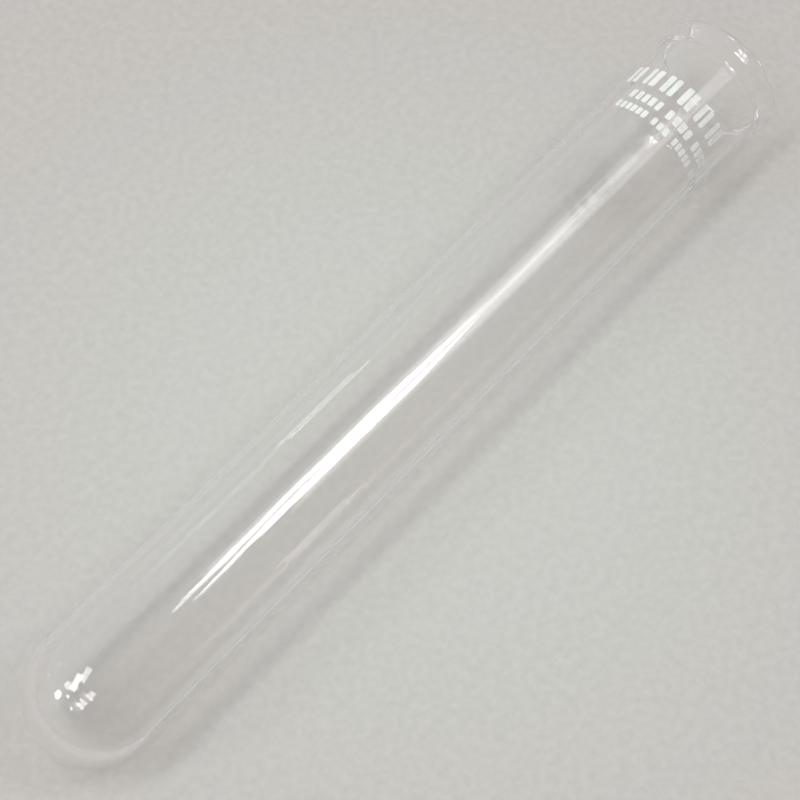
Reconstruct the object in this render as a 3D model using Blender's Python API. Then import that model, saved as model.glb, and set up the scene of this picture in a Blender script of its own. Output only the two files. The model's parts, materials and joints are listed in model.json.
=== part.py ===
"""A round-bottomed glass test tube lying on its side, with white enamel marks below its rim.

The tube rests on z = 0 on its rim and on the start of its round bottom, with its mouth towards +X.
Everything is drawn in the tube's own frame first: "along" runs from the bottom's tip to the mouth,
and an angle of zero is the side that lies uppermost, growing towards -Y.
"""

import math

import bmesh
import bpy
from mathutils import Vector

MM = 0.001

# The glass
LENGTH = 150.0 * MM
BODY_RADIUS = 10.0 * MM
WALL = 1.1 * MM
BOTTOM_WALL = 2.2 * MM
BORE_RADIUS = BODY_RADIUS - WALL

# The fire-polished rim: a low bead outside, a flat crest, and a rounded edge into the bore
RIM_RADIUS = 10.6 * MM
BEAD_START = 144.9 * MM
BEAD_TOP = 147.9 * MM
CREST_OUTER_RADIUS = 9.85 * MM
CREST_INNER_RADIUS = 9.45 * MM
BORE_EDGE_LENGTH = 0.75 * MM

# How finely the round shapes are cut
SIDES = 48
BOTTOM_STEPS = 12
CAVITY_STEPS = 10
BEAD_RISE_STEPS = 5
BEAD_ROUND_STEPS = 6
BORE_EDGE_STEPS = 4

# The enamel: thin patches that follow the facets of the glass, a hair's breadth above them
ENAMEL_GAP = 0.05 * MM
ENAMEL_THICKNESS = 0.08 * MM

# Each row of marks: name, lower edge and height along the tube, then the marks' start and end angles
BLOCK_ROW = ("mark_block", 134.3 * MM, 3.7 * MM)
BLOCK_COUNT = 6
BLOCK_FROM = -48.0
BLOCK_STEP = 19.4
BLOCK_WIDTH = 15.0
UPPER_ROW = ("mark_dash_upper", 131.0 * MM, 1.9 * MM)
UPPER_DASHES = ((-28.0, 7.0), (12.0, 43.0), (48.0, 76.0))
LOWER_ROW = ("mark_dash_lower", 128.6 * MM, 1.5 * MM)
LOWER_DASHES = ((-32.0, 2.0), (7.0, 27.0), (32.0, 61.0), (66.0, 92.0))

FACET_ANGLE = 2.0 * math.pi / SIDES
FLATTENING = math.cos(FACET_ANGLE / 2.0)


def clear_scene():
    for thing in list(bpy.data.objects):
        bpy.data.objects.remove(thing, do_unlink=True)


def make_material(name, colour, roughness, transmission):
    material = bpy.data.materials.new(name)
    material.use_nodes = True
    shader = material.node_tree.nodes["Principled BSDF"]
    shader.inputs["Base Color"].default_value = (*colour, 1.0)
    shader.inputs["Roughness"].default_value = roughness
    shader.inputs["Metallic"].default_value = 0.0
    shader.inputs["Transmission Weight"].default_value = transmission
    return material


def glass_material():
    return make_material("borosilicate_glass", (0.93, 0.96, 0.94), 0.03, 1.0)


def enamel_material():
    return make_material("white_enamel", (0.90, 0.91, 0.88), 0.55, 0.0)


def resting_pose():
    """The tube's own axes and the place of its bottom tip, for a tube resting on rim and bottom."""
    drop = (RIM_RADIUS - BODY_RADIUS) * FLATTENING
    tilt = math.asin(drop / (BEAD_TOP - BODY_RADIUS))
    forward = Vector((math.cos(tilt), 0.0, math.sin(tilt)))
    upward = Vector((-math.sin(tilt), 0.0, math.cos(tilt)))
    height = BODY_RADIUS * FLATTENING * math.cos(tilt) - BODY_RADIUS * math.sin(tilt)
    crest_lowest = CREST_OUTER_RADIUS * FLATTENING * math.sin(tilt)
    reach = LENGTH * math.cos(tilt) + crest_lowest
    return Vector((-reach / 2.0, 0.0, height)), forward, upward


TIP, FORWARD, UPWARD = resting_pose()
SIDEWAYS = Vector((0.0, -1.0, 0.0))


def place(along, radius, angle):
    """A point in the world from its place along the tube, its radius and its angle."""
    across = UPWARD * math.cos(angle) + SIDEWAYS * math.sin(angle)
    return TIP + FORWARD * along + across * radius


def make_object(name, vertices, faces, material, smooth):
    mesh = bpy.data.meshes.new(name)
    mesh.from_pydata([tuple(vertex) for vertex in vertices], [], faces)
    mesh.materials.append(material)
    builder = bmesh.new()
    builder.from_mesh(mesh)
    bmesh.ops.recalc_face_normals(builder, faces=builder.faces)
    builder.to_mesh(mesh)
    builder.free()
    for face in mesh.polygons:
        face.use_smooth = smooth
    piece = bpy.data.objects.new(name, mesh)
    bpy.context.scene.collection.objects.link(piece)
    return piece


def quarter_arc(centre_along, centre_radius, reach_along, reach_radius, start, end, steps):
    """Points of an ellipse from one angle to the other; angle 0 points outwards, 90 to the mouth."""
    points = []
    for step in range(steps + 1):
        angle = math.radians(start + (end - start) * step / steps)
        along = centre_along + reach_along * math.sin(angle)
        radius = centre_radius + reach_radius * math.cos(angle)
        points.append((along, radius))
    return points


def bead_rise():
    """The gentle swelling from the body out to the rim's full radius."""
    points = []
    for step in range(BEAD_RISE_STEPS):
        share = step / BEAD_RISE_STEPS
        swell = (1.0 - math.cos(math.pi * share)) / 2.0
        along = BEAD_START + (BEAD_TOP - BEAD_START) * share
        points.append((along, BODY_RADIUS + (RIM_RADIUS - BODY_RADIUS) * swell))
    return points


def outside_profile():
    """From just past the tip, round the bottom and up the body to the crest of the rim."""
    bottom = quarter_arc(BODY_RADIUS, 0.0, BODY_RADIUS, BODY_RADIUS, -90.0, 0.0, BOTTOM_STEPS)
    rounding = quarter_arc(
        BEAD_TOP,
        CREST_OUTER_RADIUS,
        LENGTH - BEAD_TOP,
        RIM_RADIUS - CREST_OUTER_RADIUS,
        0.0,
        90.0,
        BEAD_ROUND_STEPS,
    )
    return bottom[1:] + bead_rise() + rounding


def inside_profile():
    """From the inner side of the crest, down the bore to just before the cavity's own tip."""
    edge = quarter_arc(
        LENGTH - BORE_EDGE_LENGTH,
        CREST_INNER_RADIUS,
        BORE_EDGE_LENGTH,
        BORE_RADIUS - CREST_INNER_RADIUS,
        90.0,
        0.0,
        BORE_EDGE_STEPS,
    )
    cavity_centre = BOTTOM_WALL + BORE_RADIUS
    bottom = quarter_arc(cavity_centre, 0.0, BORE_RADIUS, BORE_RADIUS, 0.0, -90.0, CAVITY_STEPS)
    return edge + bottom[:-1]


def ring_angles():
    """Corners of the many-sided tube, turned so that a flat side lies undermost."""
    return [FACET_ANGLE * (side + 0.5) for side in range(SIDES)]


def make_glass_tube(material):
    profile = outside_profile() + inside_profile()
    vertices = [place(along, radius, angle) for along, radius in profile for angle in ring_angles()]
    faces = []
    for ring in range(len(profile) - 1):
        first = ring * SIDES
        for side in range(SIDES):
            after = (side + 1) % SIDES
            faces.append((first + side, first + after, first + SIDES + after, first + SIDES + side))
    tip = len(vertices)
    vertices.append(place(0.0, 0.0, 0.0))
    vertices.append(place(BOTTOM_WALL, 0.0, 0.0))
    last_ring = (len(profile) - 1) * SIDES
    for side in range(SIDES):
        after = (side + 1) % SIDES
        faces.append((tip, after, side))
        faces.append((tip + 1, last_ring + side, last_ring + after))
    return make_object("glass_tube", vertices, faces, material, True)


def facet_distance(angle, lift):
    """Radius at this angle of the body's flat sides moved out by a lift."""
    off_middle = (angle + FACET_ANGLE / 2.0) % FACET_ANGLE - FACET_ANGLE / 2.0
    return (BODY_RADIUS * FLATTENING + lift) / math.cos(off_middle)


def mark_angles(start, end):
    """The two ends of a mark with every corner of the glass between them."""
    first = math.ceil(start / FACET_ANGLE - 0.5)
    corners = []
    corner = (first + 0.5) * FACET_ANGLE
    while corner < end:
        corners.append(corner)
        corner += FACET_ANGLE
    return [start] + corners + [end]


def make_mark(name, along, height, start_degrees, end_degrees, material):
    """One thin enamel patch, wrapped on the glass."""
    angles = mark_angles(math.radians(start_degrees), math.radians(end_degrees))
    vertices = []
    for angle in angles:
        under = facet_distance(angle, ENAMEL_GAP)
        over = facet_distance(angle, ENAMEL_GAP + ENAMEL_THICKNESS)
        vertices.append(place(along, under, angle))
        vertices.append(place(along + height, under, angle))
        vertices.append(place(along + height, over, angle))
        vertices.append(place(along, over, angle))
    faces = [(0, 1, 2, 3)]
    for step in range(len(angles) - 1):
        a = step * 4
        b = a + 4
        for corner in range(4):
            beside = (corner + 1) % 4
            faces.append((a + corner, b + corner, b + beside, a + beside))
    last = (len(angles) - 1) * 4
    faces.append((last + 3, last + 2, last + 1, last))
    return make_object(name, vertices, faces, material, False)


def make_block_row(material):
    name, along, height = BLOCK_ROW
    for block in range(BLOCK_COUNT):
        start = BLOCK_FROM + BLOCK_STEP * block
        make_mark(f"{name}_{block + 1}", along, height, start, start + BLOCK_WIDTH, material)


def make_dash_row(row, dashes, material):
    name, along, height = row
    for number, (start, end) in enumerate(dashes, 1):
        make_mark(f"{name}_{number}", along, height, start, end, material)


def main():
    clear_scene()
    glass = glass_material()
    enamel = enamel_material()
    make_glass_tube(glass)
    make_block_row(enamel)
    make_dash_row(UPPER_ROW, UPPER_DASHES, enamel)
    make_dash_row(LOWER_ROW, LOWER_DASHES, enamel)


main()
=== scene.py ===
"""The looks of the glass test tube: fine glass, fired enamel marks, a pale table top and soft studio light.

Everything on the tube is drawn in the tube's own frame: "along" runs from the bottom's tip to the mouth,
and an angle of zero is the side that lies uppermost, growing towards -Y.
"""

import json
import math
import random

import bmesh
import bpy
from mathutils import Matrix, Vector

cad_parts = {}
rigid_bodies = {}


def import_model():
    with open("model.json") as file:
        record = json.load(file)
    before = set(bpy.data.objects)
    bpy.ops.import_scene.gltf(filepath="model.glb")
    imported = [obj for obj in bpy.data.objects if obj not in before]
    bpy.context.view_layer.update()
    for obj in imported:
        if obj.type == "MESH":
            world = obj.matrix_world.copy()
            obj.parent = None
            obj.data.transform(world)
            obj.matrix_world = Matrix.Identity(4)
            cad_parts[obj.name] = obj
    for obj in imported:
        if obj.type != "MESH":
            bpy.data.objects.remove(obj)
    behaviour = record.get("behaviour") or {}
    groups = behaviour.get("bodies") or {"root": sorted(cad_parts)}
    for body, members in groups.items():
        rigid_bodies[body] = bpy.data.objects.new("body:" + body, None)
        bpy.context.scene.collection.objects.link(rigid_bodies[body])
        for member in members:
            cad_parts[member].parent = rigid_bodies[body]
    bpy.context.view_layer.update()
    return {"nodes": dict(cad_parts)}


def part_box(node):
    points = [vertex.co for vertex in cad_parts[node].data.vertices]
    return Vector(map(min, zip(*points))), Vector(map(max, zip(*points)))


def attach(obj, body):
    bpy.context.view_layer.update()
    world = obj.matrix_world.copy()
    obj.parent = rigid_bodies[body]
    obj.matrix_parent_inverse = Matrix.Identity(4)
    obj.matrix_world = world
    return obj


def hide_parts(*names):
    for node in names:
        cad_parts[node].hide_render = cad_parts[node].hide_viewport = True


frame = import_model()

MM = 0.001

# The glass, as in the CAD model
LENGTH = 150.0 * MM
BODY_RADIUS = 10.0 * MM
BORE_RADIUS = 8.9 * MM
BOTTOM_WALL = 2.2 * MM
RIM_RADIUS = 10.6 * MM
BEAD_START = 144.9 * MM
BEAD_TOP = 147.9 * MM
CREST_OUTER_RADIUS = 9.85 * MM
CREST_INNER_RADIUS = 9.45 * MM
BORE_EDGE_LENGTH = 0.75 * MM

# How finely the round shapes are cut
SIDES = 192
BOTTOM_STEPS = 40
BEAD_STEPS = 16
EDGE_STEPS = 12

# The enamel print: its radii, uneven edges and rounded corners
PRINT_UNDER = BODY_RADIUS + 0.01 * MM
PRINT_EDGE = BODY_RADIUS + 0.05 * MM
PRINT_TOP = BODY_RADIUS + 0.08 * MM
PRINT_BEVEL = 0.04 * MM
EDGE_WOBBLE = 0.09 * MM
COLUMN_STEP = 0.22 * MM
CORNER_STEPS = 4
# Each row's print: the pitch its marks are cut at, and its corners' rounding
PRINT_STYLES = {
    "mark_block": (1.30 * MM, 0.30 * MM),
    "mark_dash_upper": (1.35 * MM, 0.22 * MM),
    "mark_dash_lower": (1.05 * MM, 0.18 * MM),
}
# Least and greatest share of the pitch left clear between two small blocks
BLOCK_GAP = (0.16, 0.42)

glass_low = Vector(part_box("glass_tube")[0])
TILT = math.asin((RIM_RADIUS - BODY_RADIUS) / (BEAD_TOP - BODY_RADIUS))
FORWARD = Vector((math.cos(TILT), 0.0, math.sin(TILT)))
UPWARD = Vector((-math.sin(TILT), 0.0, math.cos(TILT)))
SIDEWAYS = Vector((0.0, -1.0, 0.0))
TIP = Vector((glass_low.x, 0.0, BODY_RADIUS * (math.cos(TILT) - math.sin(TILT))))


# Building helpers


def place(along, radius, angle):
    """A point in the world from its place along the tube, its radius and its angle."""
    across = UPWARD * math.cos(angle) + SIDEWAYS * math.sin(angle)
    return TIP + FORWARD * along + across * radius


def make_object(name, vertices, faces, smooth):
    mesh = bpy.data.meshes.new(name)
    mesh.from_pydata([tuple(vertex) for vertex in vertices], [], faces)
    builder = bmesh.new()
    builder.from_mesh(mesh)
    bmesh.ops.recalc_face_normals(builder, faces=builder.faces)
    builder.to_mesh(mesh)
    builder.free()
    for face in mesh.polygons:
        face.use_smooth = smooth
    piece = bpy.data.objects.new(name, mesh)
    bpy.context.scene.collection.objects.link(piece)
    return piece


def arc(centre_along, centre_radius, reach_along, reach_radius, start, end, steps):
    """Points of an ellipse from one angle to the other; angle 0 points outwards, 90 to the mouth."""
    points = []
    for step in range(steps + 1):
        angle = math.radians(start + (end - start) * step / steps)
        along = centre_along + reach_along * math.sin(angle)
        points.append((along, centre_radius + reach_radius * math.cos(angle)))
    return points


# The glass


def bead_rise():
    """The gentle swelling from the body out to the rim's full radius."""
    points = []
    for step in range(BEAD_STEPS):
        share = step / BEAD_STEPS
        swell = (1.0 - math.cos(math.pi * share)) / 2.0
        along = BEAD_START + (BEAD_TOP - BEAD_START) * share
        points.append((along, BODY_RADIUS + (RIM_RADIUS - BODY_RADIUS) * swell))
    return points


def glass_profile():
    """From just past the tip, up the outside, over the rim and down the bore to its own tip."""
    bottom = arc(BODY_RADIUS, 0.0, BODY_RADIUS, BODY_RADIUS, -90.0, 0.0, BOTTOM_STEPS)
    crest = arc(
        BEAD_TOP,
        CREST_OUTER_RADIUS,
        LENGTH - BEAD_TOP,
        RIM_RADIUS - CREST_OUTER_RADIUS,
        0.0,
        90.0,
        BEAD_STEPS,
    )
    edge = arc(
        LENGTH - BORE_EDGE_LENGTH,
        CREST_INNER_RADIUS,
        BORE_EDGE_LENGTH,
        BORE_RADIUS - CREST_INNER_RADIUS,
        90.0,
        0.0,
        EDGE_STEPS,
    )
    cavity = arc(BOTTOM_WALL + BORE_RADIUS, 0.0, BORE_RADIUS, BORE_RADIUS, 0.0, -90.0, BOTTOM_STEPS)
    return bottom[1:] + bead_rise() + crest + edge + cavity[:-1]


def make_glass_body():
    """The profile turned about the tube's axis, closed at both tips."""
    profile = glass_profile()
    turn = 2.0 * math.pi / SIDES
    vertices = [place(along, radius, turn * side) for along, radius in profile for side in range(SIDES)]
    faces = []
    for ring in range(len(profile) - 1):
        first = ring * SIDES
        for side in range(SIDES):
            after = (side + 1) % SIDES
            faces.append((first + side, first + after, first + SIDES + after, first + SIDES + side))
    tip = len(vertices)
    vertices.append(place(0.0, 0.0, 0.0))
    vertices.append(place(BOTTOM_WALL, 0.0, 0.0))
    last_ring = (len(profile) - 1) * SIDES
    for side in range(SIDES):
        after = (side + 1) % SIDES
        faces.append((tip, after, side))
        faces.append((tip + 1, last_ring + side, last_ring + after))
    return make_object("glass_body", vertices, faces, True)


# The enamel print: thin rounded patches standing in for the CAD marks


def mark_span(node):
    """Where a mark of the CAD model starts and ends, along the tube and around it."""
    mark = bpy.data.objects[node]
    points = [mark.matrix_world @ vertex.co - TIP for vertex in mark.data.vertices]
    along = [point.dot(FORWARD) for point in points]
    angles = [math.atan2(point.dot(SIDEWAYS), point.dot(UPWARD)) for point in points]
    return min(along), max(along), min(angles), max(angles)


def patch_columns(width, rounding):
    """Distances across a patch, from one end to the other, closer together on its rounded corners."""
    turns = [math.pi / 2.0 * step / CORNER_STEPS for step in range(CORNER_STEPS)]
    corner = [rounding * (1.0 - math.cos(turn)) for turn in turns]
    inner = width - 2.0 * rounding
    count = max(1, math.ceil(inner / COLUMN_STEP))
    middle = [rounding + inner * step / count for step in range(count + 1)]
    return corner + middle + [width - distance for distance in reversed(corner)]


def corner_inset(distance, width, rounding):
    """How far a patch's edge draws in at this distance across it."""
    from_end = min(distance, width - distance)
    if from_end >= rounding:
        return 0.0
    return rounding - math.sqrt(rounding**2 - (rounding - from_end) ** 2)


def add_patch(vertices, faces, span, rounding, chance):
    """One rounded patch of enamel, wrapped on the glass, with slightly uneven edges."""
    along_from, along_to, angle_from, angle_to = span
    width = (angle_to - angle_from) * BODY_RADIUS
    columns = patch_columns(width, rounding)
    base = len(vertices)
    for distance in columns:
        inset = corner_inset(distance, width, rounding)
        low = along_from + inset + chance.uniform(0.0, EDGE_WOBBLE)
        high = along_to - inset - chance.uniform(0.0, EDGE_WOBBLE)
        angle = angle_from + distance / BODY_RADIUS
        section = [(low, PRINT_UNDER), (high, PRINT_UNDER), (high, PRINT_EDGE)]
        section += [(high - PRINT_BEVEL, PRINT_TOP), (low + PRINT_BEVEL, PRINT_TOP), (low, PRINT_EDGE)]
        for along, radius in section:
            vertices.append(place(along, radius, angle))
    size = len(section)
    faces.append(tuple(base + corner for corner in range(size)))
    for column in range(len(columns) - 1):
        first = base + column * size
        for corner in range(size):
            beside = (corner + 1) % size
            faces.append((first + corner, first + size + corner, first + size + beside, first + beside))
    last = len(vertices) - size
    faces.append(tuple(last + corner for corner in reversed(range(size))))


def split_span(span, pitch, chance):
    """A mark cut into small blocks of uneven width."""
    along_from, along_to, angle_from, angle_to = span
    count = max(1, round((angle_to - angle_from) * BODY_RADIUS / pitch))
    share = (angle_to - angle_from) / count
    blocks = []
    for block in range(count):
        start = angle_from + share * (block + chance.uniform(*BLOCK_GAP) / 2.0)
        end = angle_from + share * (block + 1.0 - chance.uniform(*BLOCK_GAP) / 2.0)
        blocks.append((along_from, along_to, start, end))
    return blocks


def make_print(node, number):
    """The fine print that stands for one mark of the CAD model."""
    chance = random.Random(number)
    span = mark_span(node)
    style = next(name for name in PRINT_STYLES if node.startswith(name))
    pitch, rounding = PRINT_STYLES[style]
    vertices = []
    faces = []
    for block in split_span(span, pitch, chance):
        add_patch(vertices, faces, block, rounding, chance)
    piece = make_object(f"print_{node}", vertices, faces, False)
    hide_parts(node)
    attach(piece, "root")
    return piece


# Materials


class Nodes:
    """A material's node tree with short calls for the nodes used here."""

    def __init__(self, name):
        self.material = bpy.data.materials.new(name)
        self.material.use_nodes = True
        self.tree = self.material.node_tree
        self.shader = self.tree.nodes["Principled BSDF"]
        self.output = self.tree.nodes["Material Output"]

    def add(self, kind):
        return self.tree.nodes.new(kind)

    def link(self, source, target):
        self.tree.links.new(source, target)

    def noise(self, scale, detail, stretch=(1.0, 1.0, 1.0)):
        place_node = self.add("ShaderNodeTexCoord")
        mapping = self.add("ShaderNodeMapping")
        mapping.inputs["Scale"].default_value = stretch
        texture = self.add("ShaderNodeTexNoise")
        texture.inputs["Scale"].default_value = scale
        texture.inputs["Detail"].default_value = detail
        self.link(place_node.outputs["Object"], mapping.inputs["Vector"])
        self.link(mapping.outputs["Vector"], texture.inputs["Vector"])
        return texture.outputs["Fac"]

    def ramp(self, source, stops):
        node = self.add("ShaderNodeValToRGB")
        elements = node.color_ramp.elements
        while len(elements) < len(stops):
            elements.new(0.5)
        for element, (position, colour) in zip(elements, stops):
            element.position = position
            element.color = (*colour, 1.0)
        self.link(source, node.inputs["Fac"])
        return node.outputs["Color"]

    def multiply(self, first, second):
        node = self.add("ShaderNodeMix")
        node.data_type = "RGBA"
        node.blend_type = "MULTIPLY"
        node.inputs["Factor"].default_value = 1.0
        colours = [socket for socket in node.inputs if socket.type == "RGBA"]
        self.link(first, colours[0])
        self.link(second, colours[1])
        return next(socket for socket in node.outputs if socket.type == "RGBA")

    def bump(self, height, strength, distance):
        node = self.add("ShaderNodeBump")
        node.inputs["Strength"].default_value = strength
        node.inputs["Distance"].default_value = distance
        self.link(height, node.inputs["Height"])
        self.link(node.outputs["Normal"], self.shader.inputs["Normal"])


# The glass: its index, its faint cast from pale to deep, and the scale and stretch of that cast's noise
GLASS_IOR = 1.474
CAST_STOPS = ((0.3, (0.998, 0.999, 0.997)), (0.7, (0.995, 0.998, 0.994)))
CAST_SCALE = 60.0
CAST_DETAIL = 2.0
CAST_STRETCH = (0.25, 1.0, 1.0)

# What the glass lets through to the table, from where it faces the light (0) to its outline (1):
# the lamps' light, then the room's light
LAMP_LIGHT_STOPS = (
    (0.0, (0.956, 0.944, 0.945)),
    (0.47, (0.946, 0.934, 0.935)),
    (0.62, (0.71, 0.695, 0.695)),
    (1.0, (0.41, 0.40, 0.40)),
)
ROOM_LIGHT_STOPS = (
    (0.0, (0.993, 0.981, 0.982)),
    (0.5, (0.989, 0.977, 0.978)),
    (0.75, (0.96, 0.95, 0.95)),
    (1.0, (0.75, 0.74, 0.74)),
)
# The round bottom's thicker glass holds back more of the lamps' light, up to this distance from the tip
THICK_BOTTOM = 20.0 * MM
THICK_BOTTOM_STOPS = ((0.3, (0.925, 0.925, 0.925)), (1.0, (1.0, 1.0, 1.0)))

# The enamel: its speckle, from dull to bright, and how far that roughens the surface
ENAMEL_ROUGHNESS = 0.5
ENAMEL_STOPS = ((0.30, (0.56, 0.57, 0.55)), (0.55, (0.64, 0.65, 0.63)))
SPECKLE_SCALE = 900.0
SPECKLE_DETAIL = 3.0
SPECKLE_STRENGTH = 0.25
SPECKLE_DEPTH = 0.03 * MM

# The table top: its colour, with a painted pool of light from the middle outwards, up to this distance
# (brighter and greener in the middle, darker and pinker outwards), and its mottling
TABLE_ROUGHNESS = 0.9
TABLE_SPECULAR = 0.1
PAINTED_LIGHT_POOL_REACH = 0.10
PAINTED_LIGHT_POOL_TONES = (
    (0.0, (0.439, 0.441, 0.415)),
    (0.35, (0.424, 0.426, 0.403)),
    (0.62, (0.410, 0.403, 0.382)),
    (0.92, (0.403, 0.382, 0.366)),
)
MOTTLE_SCALE = 750.0
MOTTLE_DETAIL = 3.0
MOTTLE_STOPS = ((0.30, (0.955, 0.955, 0.955)), (0.70, (1.045, 1.045, 1.045)))


def thick_bottom_shade(nodes):
    """The light that the thick bottom lets through, growing to all of it further up the tube."""
    place_node = nodes.add("ShaderNodeTexCoord")
    parts = nodes.add("ShaderNodeSeparateXYZ")
    nodes.link(place_node.outputs["Object"], parts.inputs["Vector"])
    from_tip = nodes.add("ShaderNodeMapRange")
    from_tip.inputs["From Min"].default_value = TIP.x
    from_tip.inputs["From Max"].default_value = TIP.x + THICK_BOTTOM
    nodes.link(parts.outputs["X"], from_tip.inputs["Value"])
    return nodes.ramp(from_tip.outputs["Result"], THICK_BOTTOM_STOPS)


def let_light_through(nodes, lamp_light, room_light):
    """Light on its way to the table goes straight through the glass, with these shares left."""
    ray = nodes.add("ShaderNodeLightPath")
    surface = nodes.shader.outputs["BSDF"]
    for kind, light in (("Is Shadow Ray", lamp_light), ("Is Diffuse Ray", room_light)):
        straight = nodes.add("ShaderNodeBsdfTransparent")
        nodes.link(light, straight.inputs["Color"])
        either = nodes.add("ShaderNodeMixShader")
        nodes.link(ray.outputs[kind], either.inputs[0])
        nodes.link(surface, either.inputs[1])
        nodes.link(straight.outputs["BSDF"], either.inputs[2])
        surface = either.outputs["Shader"]
    nodes.link(surface, nodes.output.inputs["Surface"])


def glass_material():
    """Borosilicate glass with a faint cast, which lets the light through to the table."""
    nodes = Nodes("clear_borosilicate")
    nodes.shader.inputs["Roughness"].default_value = 0.0
    nodes.shader.inputs["IOR"].default_value = GLASS_IOR
    nodes.shader.inputs["Transmission Weight"].default_value = 1.0
    cast = nodes.noise(CAST_SCALE, CAST_DETAIL, CAST_STRETCH)
    nodes.link(nodes.ramp(cast, CAST_STOPS), nodes.shader.inputs["Base Color"])
    facing = nodes.add("ShaderNodeLayerWeight")
    lamp_light = nodes.ramp(facing.outputs["Facing"], LAMP_LIGHT_STOPS)
    room_light = nodes.ramp(facing.outputs["Facing"], ROOM_LIGHT_STOPS)
    let_light_through(nodes, nodes.multiply(lamp_light, thick_bottom_shade(nodes)), room_light)
    return nodes.material


def enamel_material():
    """Fired white enamel with a fine speckle."""
    nodes = Nodes("fired_white_enamel")
    nodes.shader.inputs["Roughness"].default_value = ENAMEL_ROUGHNESS
    speckle = nodes.noise(SPECKLE_SCALE, SPECKLE_DETAIL)
    nodes.link(nodes.ramp(speckle, ENAMEL_STOPS), nodes.shader.inputs["Base Color"])
    nodes.bump(speckle, SPECKLE_STRENGTH, SPECKLE_DEPTH)
    return nodes.material


def floor_material():
    """A pale matt table top, finely mottled, with a painted pool of light: a little darker and pinker away
    from the middle.
    """
    nodes = Nodes("pale_table_top")
    nodes.shader.inputs["Roughness"].default_value = TABLE_ROUGHNESS
    nodes.shader.inputs["Specular IOR Level"].default_value = TABLE_SPECULAR
    place_node = nodes.add("ShaderNodeTexCoord")
    away = nodes.add("ShaderNodeVectorMath")
    away.operation = "LENGTH"
    nodes.link(place_node.outputs["Object"], away.inputs[0])
    share = nodes.add("ShaderNodeMath")
    share.operation = "DIVIDE"
    share.inputs[1].default_value = PAINTED_LIGHT_POOL_REACH
    nodes.link(away.outputs["Value"], share.inputs[0])
    # Painted pool of light: the table's colour is brighter in the middle, under the tube, and darker and
    # pinker outwards
    painted_light_pool = nodes.ramp(share.outputs["Value"], PAINTED_LIGHT_POOL_TONES)
    mottling = nodes.ramp(nodes.noise(MOTTLE_SCALE, MOTTLE_DETAIL), MOTTLE_STOPS)
    nodes.link(nodes.multiply(painted_light_pool, mottling), nodes.shader.inputs["Base Color"])
    return nodes.material


# Stage, camera and light

FLOOR_HALF = 3.0

# The camera: its lens and sensor in millimetres, where it stands, and the way it and its right side face
CAMERA_LENS = 117.0
CAMERA_SENSOR = 36.0
CAMERA_NEAR = 0.01
CAMERA_PLACE = Vector((-0.14718, -0.1271, 0.33442))
CAMERA_FORWARD = Vector((0.3834, 0.3348, -0.8607)).normalized()
CAMERA_RIGHT = Vector((0.6578, -0.7532, 0.0)).normalized()

# The ceiling's height, and the distance from the tube's axis of the lamps that face it
CEILING = 1.6

# Two strip lamps on the ceiling: their ends and their width in ceiling heights, and their radiance
CEILING_STRIPS = {
    "overhead_strip": ((-0.63, 0.17), (-0.11, 0.235), 0.20, 14.7),
    "far_strip": ((-1.02, -0.41), (-0.66, -0.37), 0.24, 10.0),
}

# A pair of tubular lamps to one side, each with its glow in layers.
# A layer's ends are directions: angle about the tube's axis and slope along it; then width and radiance
SIDE_TUBES = (
    (
        ((25.5, 0.267), (25.5, 0.31), 5.0, 5.0),
        ((27.0, 0.285), (29.0, 0.40), 6.0, 26.0),
        ((28.0, 0.29), (27.5, 0.50), 14.0, 1.4),
        ((27.0, 0.30), (27.5, 0.61), 20.0, 1.5),
        ((27.0, 0.30), (27.5, 0.66), 26.0, 0.9),
    ),
    (
        ((12.5, 0.28), (12.5, 0.31), 5.0, 4.0),
        ((13.0, 0.315), (20.5, 0.385), 5.0, 20.0),
        ((19.0, 0.30), (19.0, 0.56), 11.0, 0.6),
    ),
)

# A weak window on the other side, given like one layer
WINDOW = ((-60.0, 0.318), (-60.0, 0.372), 5.0, 2.6)

# Small round lamps: angle about the tube's axis, slope along it, width and radiance
SMALL_LAMPS = ((-33.0, -1.07, 18.0, 11.0), (10.0, -1.40, 8.0, 13.0), (-10.6, -0.94, 7.0, 12.0))

# The room's light, and where and how far it is dimmer: the cosine of the angle to the dim side's middle
ROOM_STRENGTH = 0.76
DIM_SIDE = (-0.6, -0.8, 0.0)
DIM_FROM = 0.22
DIM_FULL = 0.42
DIM_SHARE = 0.40

# How often light may bounce: enough for light piped along the glass wall to come out at the rim
WALL_BOUNCES = 200


def make_floor():
    corners = [(-FLOOR_HALF, -FLOOR_HALF, 0), (FLOOR_HALF, -FLOOR_HALF, 0)]
    corners += [(FLOOR_HALF, FLOOR_HALF, 0), (-FLOOR_HALF, FLOOR_HALF, 0)]
    floor = make_object("table_top", corners, [(0, 1, 2, 3)], False)
    floor.data.materials.append(floor_material())


def frame_matrix(at, x_axis, y_axis, z_axis):
    """The matrix of an object at a point, with its own axes along these."""
    return Matrix.Translation(at) @ Matrix((x_axis, y_axis, z_axis)).transposed().to_4x4()


def make_camera():
    data = bpy.data.cameras.new("camera")
    data.sensor_width = CAMERA_SENSOR
    data.lens = CAMERA_LENS
    data.clip_start = CAMERA_NEAR
    camera = bpy.data.objects.new("camera", data)
    bpy.context.scene.collection.objects.link(camera)
    up = CAMERA_RIGHT.cross(CAMERA_FORWARD)
    camera.matrix_world = frame_matrix(CAMERA_PLACE, CAMERA_RIGHT, up, -CAMERA_FORWARD)
    bpy.context.scene.camera = camera


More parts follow.
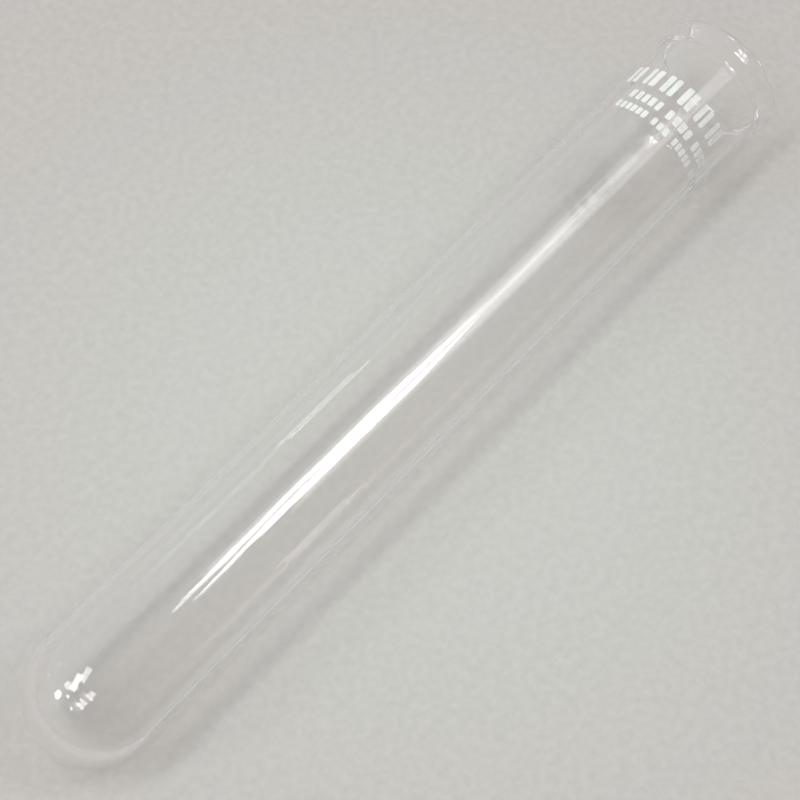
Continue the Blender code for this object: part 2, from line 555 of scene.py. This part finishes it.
def make_lamp(name, first, last, breadth, backward, radiance):
    """A rectangular lamp from one point to the other, which shines away from its backward direction."""
    data = bpy.data.lights.new(name, "AREA")
    data.shape = "RECTANGLE"
    data.size = (last - first).length
    data.size_y = breadth
    data.energy = radiance * math.pi * data.size * data.size_y
    lamp = bpy.data.objects.new(name, data)
    bpy.context.scene.collection.objects.link(lamp)
    x_axis = (last - first).normalized()
    lamp.matrix_world = frame_matrix((first + last) / 2.0, x_axis, backward.cross(x_axis), backward)
    return lamp


def ceiling_light(name, start, end, width, radiance):
    """A level lamp; its ends and its width are given in ceiling heights."""
    first = Vector((*start, 1.0)) * CEILING
    last = Vector((*end, 1.0)) * CEILING
    return make_lamp(name, first, last, width * CEILING, Vector((0.0, 0.0, 1.0)), radiance)


def direction_point(angle, slope):
    """The place of a lamp seen from the tube at this angle about its axis and this slope along it."""
    turn = math.radians(angle)
    return Vector((slope, -math.sin(turn), math.cos(turn))) * CEILING


def strip_light(name, start, end, width, radiance):
    """A lamp facing the tube, from one direction to the other, with its width about the tube's axis."""
    first = direction_point(*start)
    last = direction_point(*end)
    x_axis = (last - first).normalized()
    across = Vector((1.0, 0.0, 0.0)).cross(first + last).normalized()
    backward = x_axis.cross(across - x_axis * across.dot(x_axis)).normalized()
    if backward.z < 0.0:
        backward = -backward
    breadth = 2.0 * CEILING * math.tan(math.radians(width) / 2.0)
    return make_lamp(name, first, last, breadth, backward, radiance)


def round_light(name, angle, slope, width, radiance):
    """A small round lamp facing the tube."""
    reach = math.tan(math.radians(width) / 2.0) * math.hypot(1.0, slope)
    ends = ((angle, slope - reach), (angle, slope + reach))
    strip_light(name, *ends, width, radiance).data.shape = "ELLIPSE"


def make_room():
    """Even light from all round, dimmer low down on one side."""
    world = bpy.data.worlds.new("studio")
    world.use_nodes = True
    tree = world.node_tree
    background = tree.nodes["Background"]
    background.inputs["Strength"].default_value = ROOM_STRENGTH
    direction = tree.nodes.new("ShaderNodeTexCoord")
    towards = tree.nodes.new("ShaderNodeVectorMath")
    towards.operation = "DOT_PRODUCT"
    towards.inputs[1].default_value = DIM_SIDE
    light = tree.nodes.new("ShaderNodeMapRange")
    light.inputs["From Min"].default_value = DIM_FROM
    light.inputs["From Max"].default_value = DIM_FULL
    light.inputs["To Min"].default_value = 1.0
    light.inputs["To Max"].default_value = DIM_SHARE
    tree.links.new(direction.outputs["Generated"], towards.inputs[0])
    tree.links.new(towards.outputs["Value"], light.inputs["Value"])
    tree.links.new(light.outputs["Result"], background.inputs["Color"])
    bpy.context.scene.world = world


def make_lights():
    make_room()
    for name, strip in CEILING_STRIPS.items():
        ceiling_light(name, *strip)
    for number, layers in enumerate(SIDE_TUBES, 1):
        for layer, strip in enumerate(layers, 1):
            strip_light(f"side_tube_{number}_{layer}", *strip)
    strip_light("window", *WINDOW)
    for number, lamp in enumerate(SMALL_LAMPS, 1):
        round_light(f"small_lamp_{number}", *lamp)


def let_light_travel(cycles):
    """Lets light piped along the glass wall bounce until it comes out at the rim."""
    cycles.max_bounces = WALL_BOUNCES
    cycles.transmission_bounces = WALL_BOUNCES
    cycles.glossy_bounces = WALL_BOUNCES


def main():
    tube = make_glass_body()
    tube.data.materials.append(glass_material())
    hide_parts("glass_tube")
    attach(tube, "root")
    enamel = enamel_material()
    marks = [node for node in frame["nodes"] if node.startswith("mark")]
    for number, node in enumerate(marks, 1):
        make_print(node, number).data.materials.append(enamel)
    make_floor()
    make_camera()
    make_lights()
    bpy.context.scene.view_settings.view_transform = "Standard"
    let_light_travel(bpy.context.scene.cycles)


main()
